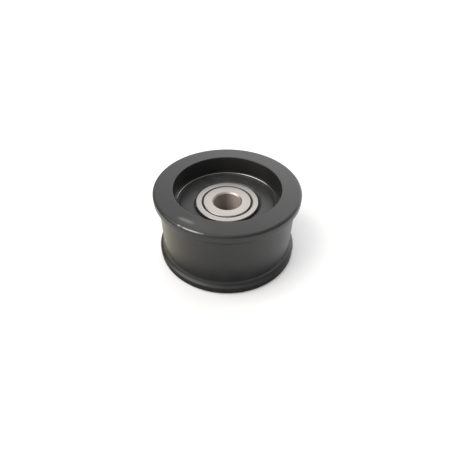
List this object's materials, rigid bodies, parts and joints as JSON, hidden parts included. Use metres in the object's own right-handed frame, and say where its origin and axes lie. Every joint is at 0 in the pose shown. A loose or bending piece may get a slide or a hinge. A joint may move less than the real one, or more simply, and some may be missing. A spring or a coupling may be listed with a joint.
{
  "type": "flanged idler pulley",
  "caption": "Black moulded flat-belt idler pulley with a flange at each end, turning on a sealed ball bearing whose steel bushing takes the bolt.",
  "frame": {"origin": "on the axis of rotation, half way between the two flange faces", "axes": "+Z along the axis of rotation towards the flange beside the shallower recess; X and Y are free, because the part is round"},
  "size_m": [0.051, 0.051, 0.027],
  "materials": {
    "moulded_body": "black moulded nylon, satin, with light scuffs on the rim",
    "ground_steel": "ground bearing steel with fine rings",
    "turned_steel": "turned mild steel, satin",
    "seal_rubber": "black moulded rubber, satin",
    "cage_sheet": "pressed sheet steel",
    "ball_steel": "polished hardened steel"
  },
  "bodies": {
    "hub": {"bearing_inner_ring": "ground_steel", "bore_bushing": "turned_steel"},
    "pulley": {"pulley_body": "moulded_body", "bearing_outer_ring": "ground_steel", "upper_seal": "seal_rubber", "lower_seal": "seal_rubber"},
    "cage": {"cage_upper_half": "cage_sheet", "cage_lower_half": "cage_sheet", "cage_rivets": "cage_sheet"},
    "ball_1": {"ball_1": "ball_steel"},
    "ball_2": {"ball_2": "ball_steel"},
    "ball_3": {"ball_3": "ball_steel"},
    "ball_4": {"ball_4": "ball_steel"},
    "ball_5": {"ball_5": "ball_steel"},
    "ball_6": {"ball_6": "ball_steel"},
    "ball_7": {"ball_7": "ball_steel"},
    "ball_8": {"ball_8": "ball_steel"}
  },
  "joints": [
    {"name": "pulley_spin", "type": "hinge", "parent": "hub", "child": "pulley", "pos_m": [0, 0, 0.001], "axis": [0, 0, 1], "continuous": true},
    {"name": "cage_spin", "type": "hinge", "parent": "hub", "child": "cage", "pos_m": [0, 0, 0.001], "axis": [0, 0, 1], "continuous": true},
    {"name": "ball_1_spin", "type": "hinge", "parent": "cage", "child": "ball_1", "pos_m": [0.01425, 0, 0.001], "axis": [0, 0, 1], "continuous": true},
    {"name": "ball_2_spin", "type": "hinge", "parent": "cage", "child": "ball_2", "pos_m": [0.01008, 0.01008, 0.001], "axis": [0, 0, 1], "continuous": true},
    {"name": "ball_3_spin", "type": "hinge", "parent": "cage", "child": "ball_3", "pos_m": [0, 0.01425, 0.001], "axis": [0, 0, 1], "continuous": true},
    {"name": "ball_4_spin", "type": "hinge", "parent": "cage", "child": "ball_4", "pos_m": [-0.01008, 0.01008, 0.001], "axis": [0, 0, 1], "continuous": true},
    {"name": "ball_5_spin", "type": "hinge", "parent": "cage", "child": "ball_5", "pos_m": [-0.01425, 0, 0.001], "axis": [0, 0, 1], "continuous": true},
    {"name": "ball_6_spin", "type": "hinge", "parent": "cage", "child": "ball_6", "pos_m": [-0.01008, -0.01008, 0.001], "axis": [0, 0, 1], "continuous": true},
    {"name": "ball_7_spin", "type": "hinge", "parent": "cage", "child": "ball_7", "pos_m": [0, -0.01425, 0.001], "axis": [0, 0, 1], "continuous": true},
    {"name": "ball_8_spin", "type": "hinge", "parent": "cage", "child": "ball_8", "pos_m": [0.01008, -0.01008, 0.001], "axis": [0, 0, 1], "continuous": true}
  ],
  "couplings": [
    {"joint": "cage_spin", "follows": "pulley_spin", "ratio": 0.61837},
    {"joint": "ball_1_spin", "follows": "pulley_spin", "ratio": 1.9937},
    {"joint": "ball_2_spin", "follows": "pulley_spin", "ratio": 1.9937},
    {"joint": "ball_3_spin", "follows": "pulley_spin", "ratio": 1.9937},
    {"joint": "ball_4_spin", "follows": "pulley_spin", "ratio": 1.9937},
    {"joint": "ball_5_spin", "follows": "pulley_spin", "ratio": 1.9937},
    {"joint": "ball_6_spin", "follows": "pulley_spin", "ratio": 1.9937},
    {"joint": "ball_7_spin", "follows": "pulley_spin", "ratio": 1.9937},
    {"joint": "ball_8_spin", "follows": "pulley_spin", "ratio": 1.9937}
  ]
}
